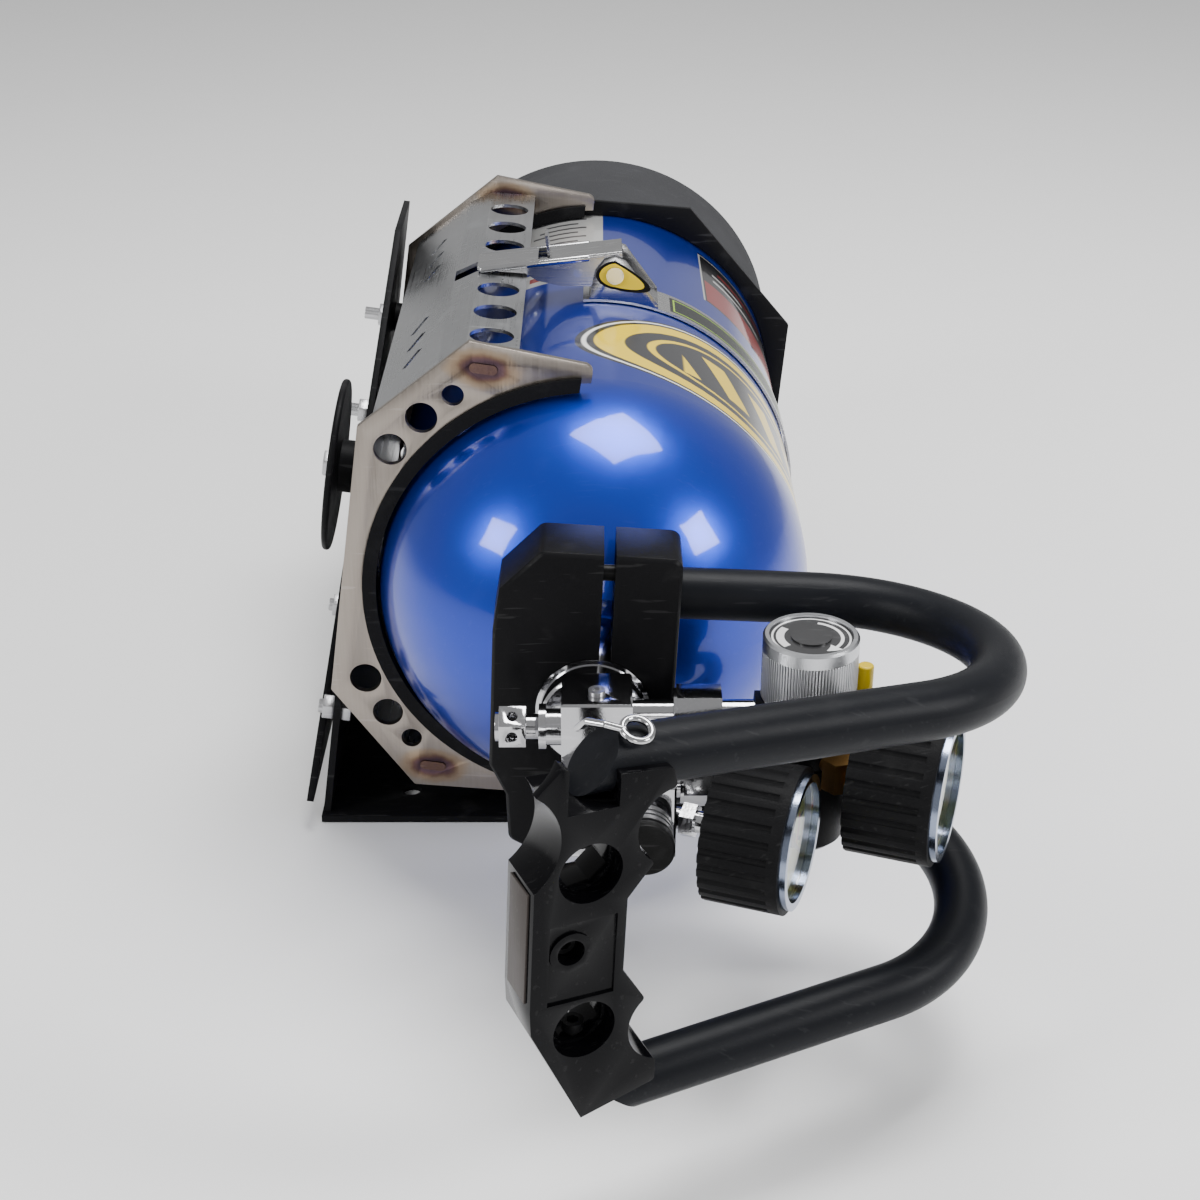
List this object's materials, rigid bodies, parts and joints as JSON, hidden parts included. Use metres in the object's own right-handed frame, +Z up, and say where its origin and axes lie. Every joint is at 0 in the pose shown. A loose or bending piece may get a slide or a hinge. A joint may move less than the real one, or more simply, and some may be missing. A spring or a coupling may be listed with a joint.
{
  "type": "air pack",
  "caption": "Metallic blue gas cylinder strapped in a stainless cradle on a black tray, with a valve, regulator, gauges and two black hoop tubes ending in a machined grip",
  "frame": {"origin": "middle of the underside of the base tray, on the surface it is bolted to", "axes": "+X to the right when looking at the valve end, +Y along the cylinder from the valve end to the rubber boot, +Z up from the tray"},
  "size_m": [0.2713, 0.5933, 0.2256],
  "materials": {
    "cylinder_paint": "gloss",
    "boot_rubber": "matte",
    "black_rubber": "matte",
    "plate_steel": "satin",
    "weld_metal": "satin",
    "satin_sheet": "satin",
    "latch_steel": "polished",
    "chrome_parts": "polished",
    "black_coat": "satin",
    "screw_steel": "satin",
    "black_screw": "satin",
    "satin_black": "satin",
    "tube_black": "satin",
    "gloss_black": "gloss",
    "label_plate": "satin",
    "valve_chrome": "polished",
    "brass_fitting": "satin",
    "knob_alloy": "satin",
    "knob_label": "gloss",
    "yellow_plastic": "matte",
    "black_plastic": "matte",
    "gauge_case_steel": "satin",
    "gauge_rubber": "matte",
    "bezel_chrome": "polished",
    "clear_lens": "gloss",
    "dial_face": "matte",
    "needle_black": "matte"
  },
  "bodies": {
    "cradle": {"cylinder_shell": "cylinder_paint", "base_boot": "boot_rubber", "dip_tube": "brass_fitting", "neck_seal_ring": "black_rubber", "front_cradle_plate": "plate_steel", "rear_cradle_plate": "plate_steel", "weld_plugs": "weld_metal", "rubber_trims": "black_rubber", "cradle_sheet": "satin_sheet", "clamp_band": "satin_sheet", "latch_base": "latch_steel", "latch_rivet": "chrome_parts", "base_tray": "black_coat", "back_plate": "black_coat", "side_spacers": "black_coat", "side_bolts": "screw_steel", "disc_plate": "black_coat", "rear_ring_plate": "black_coat", "tray_isolators": "black_rubber", "neck_clamp_block": "satin_black", "neck_block_screws": "black_screw", "upper_hoop_tube": "tube_black", "lower_hoop_tube": "tube_black", "grip_block": "gloss_black", "grip_screws": "black_screw", "grip_side_plate": "label_plate", "tether_clip": "chrome_parts", "valve_body": "valve_chrome", "valve_boss_screw": "screw_steel", "relief_plug": "valve_chrome", "relief_collar": "valve_chrome", "line_nipples": "valve_chrome", "coupling_nuts": "valve_chrome", "regulator_body": "satin_black", "regulator_spring": "screw_steel", "port_cap": "yellow_plastic", "elbow_fitting": "brass_fitting", "tank_gauge_stem": "valve_chrome", "coupler_body": "valve_chrome", "dust_cap": "black_plastic", "tank_gauge_case": "gauge_case_steel", "tank_gauge_boot": "gauge_rubber", "tank_gauge_bezel": "bezel_chrome", "tank_gauge_lens": "clear_lens", "tank_gauge_dial": "dial_face", "line_gauge_case": "gauge_case_steel", "line_gauge_boot": "gauge_rubber", "line_gauge_bezel": "bezel_chrome", "line_gauge_lens": "clear_lens", "line_gauge_dial": "dial_face"},
    "regulator_dial": {"regulator_knob": "knob_alloy", "knob_insert": "knob_label", "regulator_spindle": "screw_steel"},
    "latch_arm": {"latch_lever": "latch_steel", "draw_link_pin": "chrome_parts"},
    "latch_link": {"draw_link": "latch_steel"},
    "tank_pointer": {"tank_gauge_needle": "needle_black"},
    "line_pointer": {"line_gauge_needle": "needle_black"},
    "outlet_sleeve": {"coupler_sleeve": "screw_steel"}
  },
  "joints": [
    {"name": "regulator_knob_turn", "type": "hinge", "parent": "cradle", "child": "regulator_dial", "pos_m": [0.08226, -0.2265, 0.136], "axis": [0, 0, 1], "range_deg": [-360, 360]},
    {"name": "latch_lever_lift", "type": "hinge", "parent": "cradle", "child": "latch_arm", "pos_m": [0.01436, -0.0015, 0.2104], "axis": [0, 1, 0], "range_deg": [0, 110]},
    {"name": "draw_link_swing", "type": "hinge", "parent": "latch_arm", "child": "latch_link", "pos_m": [-0.00177, -0.0015, 0.21058], "axis": [0, 1, 0], "range_deg": [-110, 0]},
    {"name": "tank_gauge_needle_turn", "type": "hinge", "parent": "cradle", "child": "tank_pointer", "pos_m": [0.07726, -0.2735, 0.092], "axis": [0.9397, -0.342, 0], "range_deg": [0, 270]},
    {"name": "line_gauge_needle_turn", "type": "hinge", "parent": "cradle", "child": "line_pointer", "pos_m": [0.12926, -0.2585, 0.103], "axis": [0.9397, -0.342, 0], "range_deg": [0, 270]},
    {"name": "coupler_sleeve_slide", "type": "slide", "parent": "cradle", "child": "outlet_sleeve", "axis": [0, 1, 0], "range_m": [0, 0.0035], "stiffness_N_per_m": 900}
  ],
  "couplings": [
    {"joint": "draw_link_swing", "follows": "latch_lever_lift", "ratio": -1}
  ]
}
